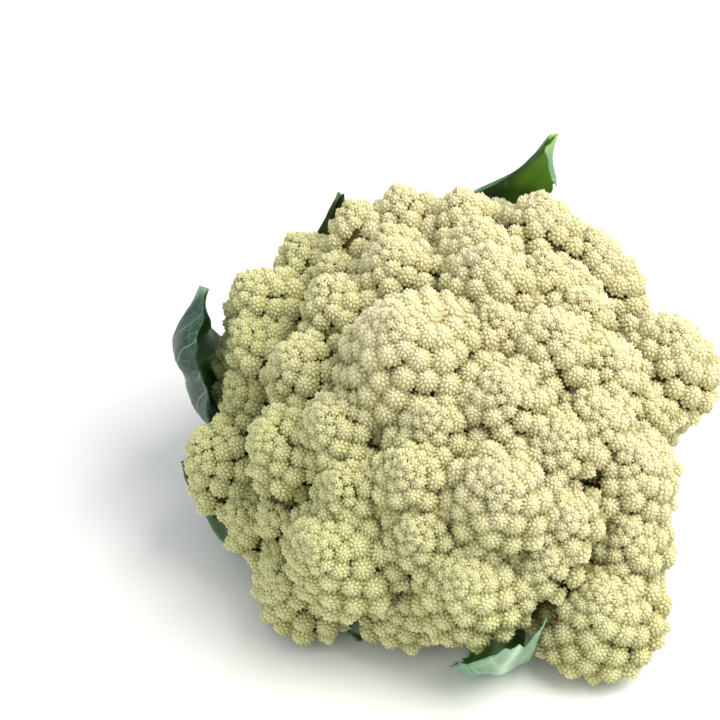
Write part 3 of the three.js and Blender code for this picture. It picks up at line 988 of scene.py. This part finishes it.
curdPaint = {
    "crease": (0.10, 0.08, 0.01),  # painted shade between beads over their olive, at the foot of a small cone
    "softCrease": (0.60, 0.545, 0.28),  # and, less dark, at its tip
    "top": (0.85, 0.785, 0.585),
    "clusterFootShade": (0.69, 0.665, 0.45),  # painted shade towards the foot of every small cone
    "gapShade": (0.27, 0.265, 0.09),  # painted shade down between the florets
    "gapShadeFrom": 0.85,  # share of open directions under which the painted gap shade begins, and where it is darkest
    "gapShadeTo": 0.25,
    "creasePower": 1.4,
    "tonePower": 0.45,
    "branch": (0.50, 0.54, 0.28),
    "branchFrom": 1.3,  # cluster share, see the flesh
    "greenAndShadeTint": (0.87, 0.93, 0.77),  # greener and darker low down and on the left: part real green, part painted shade
    "greenAndShadeFrom": 0.11,  # m, for the height plus a part of the distance to the right
    "greenAndShadeTo": 0.03,
    "greenAndShadeSlant": 0.6,
    "patchTint": (0.90, 0.94, 0.80),
    "patchScale": 45,  # patches to the metre
    "roughness": 0.55,
    "shine": 0.25,
    "glow": 0.12,
    "glowRadius": (1.0, 0.85, 0.35),  # mm
}


def curdMaterial():
    material, tree, shader = newMaterial("beadedCurd")
    tone = attribute(tree, "tone")
    share = attribute(tree, "clusterShare")
    rim = calculate(tree, "MINIMUM", share, 1.0)
    # painted shade: the dark crease colour fills the creases and fades out up each bead by tone
    deep = calculate(tree, "POWER", rim, curdPaint["creasePower"])
    crease = mixColour(tree, deep, curdPaint["softCrease"], curdPaint["crease"])
    rise = calculate(tree, "POWER", tone, curdPaint["tonePower"])
    colour = mixColour(tree, rise, crease, curdPaint["top"])
    # painted shade towards each small cone's foot
    colour = tinted(tree, colour, mixColour(tree, rim, white, curdPaint["clusterFootShade"]))
    isBranch = calculate(tree, "GREATER_THAN", share, curdPaint["branchFrom"])
    colour = mixColour(tree, isBranch, colour, curdPaint["branch"])
    # painted shade where few directions are open, down between the florets
    gap = between(tree, attribute(tree, "openShare"), curdPaint["gapShadeFrom"], curdPaint["gapShadeTo"])
    colour = tinted(tree, colour, mixColour(tree, gap, white, curdPaint["gapShade"]))
    place = tree.nodes.new("ShaderNodeTexCoord")
    sides = tree.nodes.new("ShaderNodeSeparateXYZ")
    tree.links.new(place.outputs["Object"], sides.inputs[0])
    # greener and darker low down and on the left: part real green, part painted shade
    level = calculate(tree, "MULTIPLY_ADD", sides.outputs[0], curdPaint["greenAndShadeSlant"], sides.outputs[2])
    green = between(tree, level, curdPaint["greenAndShadeFrom"], curdPaint["greenAndShadeTo"])
    colour = tinted(tree, colour, mixColour(tree, green, white, curdPaint["greenAndShadeTint"]))
    patches = mixColour(tree, noise(tree, curdPaint["patchScale"], 3), white, curdPaint["patchTint"])
    tree.links.new(tinted(tree, colour, patches), shader.inputs["Base Color"])
    shader.inputs["Roughness"].default_value = curdPaint["roughness"]
    shader.inputs["Specular IOR Level"].default_value = curdPaint["shine"]
    shader.inputs["Subsurface Weight"].default_value = curdPaint["glow"]
    shader.inputs["Subsurface Radius"].default_value = curdPaint["glowRadius"]
    shader.inputs["Subsurface Scale"].default_value = mm
    return material


stalkPaint = {
    "skin": (0.45, 0.55, 0.25),
    "foot": (0.66, 0.66, 0.42),
    "cut": (0.80, 0.78, 0.58),
    "spotScale": 160,  # spots to the metre
    "spots": ((0.8, 0.84, 0.75), (1.1, 1.1, 1.1)),
    "roughness": 0.5,
}


def stalkMaterial():
    material, tree, shader = newMaterial("stalkSkin")
    colour = mixColour(tree, attribute(tree, "along"), stalkPaint["skin"], stalkPaint["foot"])
    colour = mixColour(tree, attribute(tree, "cut"), colour, stalkPaint["cut"])
    spots = mixColour(tree, noise(tree, stalkPaint["spotScale"], 4), *stalkPaint["spots"])
    tree.links.new(tinted(tree, colour, spots), shader.inputs["Base Color"])
    shader.inputs["Roughness"].default_value = stalkPaint["roughness"]
    return material


leafPaint = {  # fold: from where to where across the leaf its far side shows, as if rolled over
    "front": {"outer": (0.15, 0.30, 0.17), "inner": (0.05, 0.16, 0.02), "vein": (0.55, 0.70, 0.50),
              "bloom": 0.15, "veins": 7, "fold": (2, 3)},
    "left": {"outer": (0.024, 0.062, 0.040), "inner": (0.04, 0.13, 0.012), "vein": (0.28, 0.42, 0.30),
             "bloom": 0.03, "veins": 8, "fold": (2, 3)},
    "dark": {"outer": (0.025, 0.065, 0.018), "inner": (0.02, 0.06, 0.008), "vein": (0.10, 0.19, 0.06),
             "bloom": 0.04, "veins": 9, "fold": (2, 3)},
    "back": {"outer": (0.10, 0.21, 0.12), "inner": (0.11, 0.30, 0.01), "vein": (0.26, 0.46, 0.10),
             "bloom": 0.06, "veins": 9, "fold": (0.1, 0.4)},
}


leafSkin = {  # what all the leaves share; scales are to the metre
    "patchScale": 60,
    "patches": ((0.75, 0.8, 0.7), (1.25, 1.2, 1.25)),
    "wanderScale": 90,
    "wander": 0.5,
    "veinWidth": 0.055,
    "veinTaper": 0.03,
    "veinStrength": 0.95,
    "netScale": 260,
    "netWidth": 0.045,
    "netStrength": 0.16,
    "grainScale": 500,
    "grainHeight": 0.4,
    "reliefStrength": 0.35,
    "reliefHeight": 0.0004,  # m
    "outerLines": 0.9,  # strength of the lines outside, and how much fainter they are inside
    "innerFade": 0.45,
    "roughness": 0.45,
    "shine": 0.3,
    "bloomRoughness": 0.4,
}


def leafMaterial(name, paint):
    material, tree, shader = newMaterial(name + "LeafSkin")
    along = attribute(tree, "along")
    across = calculate(tree, "ABSOLUTE", attribute(tree, "across"))
    folded = between(tree, attribute(tree, "across"), *paint["fold"])
    flatShare = calculate(tree, "SUBTRACT", 1.0, folded)
    inner = calculate(tree, "MULTIPLY", attribute(tree, "innerSide"), flatShare)
    curve = calculate(tree, "POWER", across, leafShape["veinCurve"])
    sweep = calculate(tree, "MULTIPLY", curve, leafShape["veinSweep"])
    veinAt = calculate(tree, "SUBTRACT", calculate(tree, "MULTIPLY", along, paint["veins"]), sweep)
    wander = calculate(tree, "SUBTRACT", noise(tree, leafSkin["wanderScale"], 1), 0.5)
    wander = calculate(tree, "MULTIPLY", wander, leafSkin["wander"])
    fromVein = calculate(tree, "PINGPONG", calculate(tree, "ADD", veinAt, wander), 0.5)
    thin = calculate(tree, "MULTIPLY_ADD", across, -leafSkin["veinTaper"], leafSkin["veinWidth"])
    vein = calculate(tree, "SUBTRACT", 1.0, calculate(tree, "DIVIDE", fromVein, thin))
    vein = calculate(tree, "MINIMUM", calculate(tree, "MAXIMUM", vein, 0.0), 1.0)
    vein = calculate(tree, "MULTIPLY", vein, leafSkin["veinStrength"])
    net = tree.nodes.new("ShaderNodeTexVoronoi")
    net.feature = "DISTANCE_TO_EDGE"
    net.inputs["Scale"].default_value = leafSkin["netScale"]
    place = tree.nodes.new("ShaderNodeTexCoord")
    tree.links.new(place.outputs["Object"], net.inputs["Vector"])
    netLine = calculate(tree, "LESS_THAN", net.outputs["Distance"], leafSkin["netWidth"])
    netLine = calculate(tree, "MULTIPLY", netLine, leafSkin["netStrength"])
    lines = calculate(tree, "MAXIMUM", attribute(tree, "ribShare"), vein)
    lines = calculate(tree, "MAXIMUM", lines, netLine)
    patches = mixColour(tree, noise(tree, leafSkin["patchScale"], 4), *leafSkin["patches"])
    outerColour = tinted(tree, paint["outer"], patches)
    innerColour = tinted(tree, paint["inner"], patches)
    skin = mixColour(tree, inner, outerColour, innerColour)
    strength = calculate(tree, "MULTIPLY_ADD", inner, -leafSkin["innerFade"], leafSkin["outerLines"])
    colour = mixColour(tree, calculate(tree, "MULTIPLY", lines, strength), skin, paint["vein"])
    tree.links.new(colour, shader.inputs["Base Color"])
    grain = calculate(tree, "MULTIPLY", noise(tree, leafSkin["grainScale"], 2), leafSkin["grainHeight"])
    relief = tree.nodes.new("ShaderNodeBump")
    relief.inputs["Strength"].default_value = leafSkin["reliefStrength"]
    relief.inputs["Distance"].default_value = leafSkin["reliefHeight"]
    tree.links.new(calculate(tree, "ADD", lines, grain), relief.inputs["Height"])
    tree.links.new(relief.outputs["Normal"], shader.inputs["Normal"])
    shader.inputs["Roughness"].default_value = leafSkin["roughness"]
    shader.inputs["Specular IOR Level"].default_value = leafSkin["shine"]
    shader.inputs["Sheen Weight"].default_value = paint["bloom"]
    shader.inputs["Sheen Roughness"].default_value = leafSkin["bloomRoughness"]
    return material


makeCamera()
makeStudio()
print("camera and light set")
makeCurd(curdMaterial())
makeStalk(stalkMaterial())
print("stalk made")
leafMaterials = {name: leafMaterial(name, paint) for name, paint in leafPaint.items()}
for seed, (name, leaf) in enumerate(leaves.items()):
    makeLeaf(name, leaf, leafMaterials[leaf["paint"]], seed)
print("leaves made")
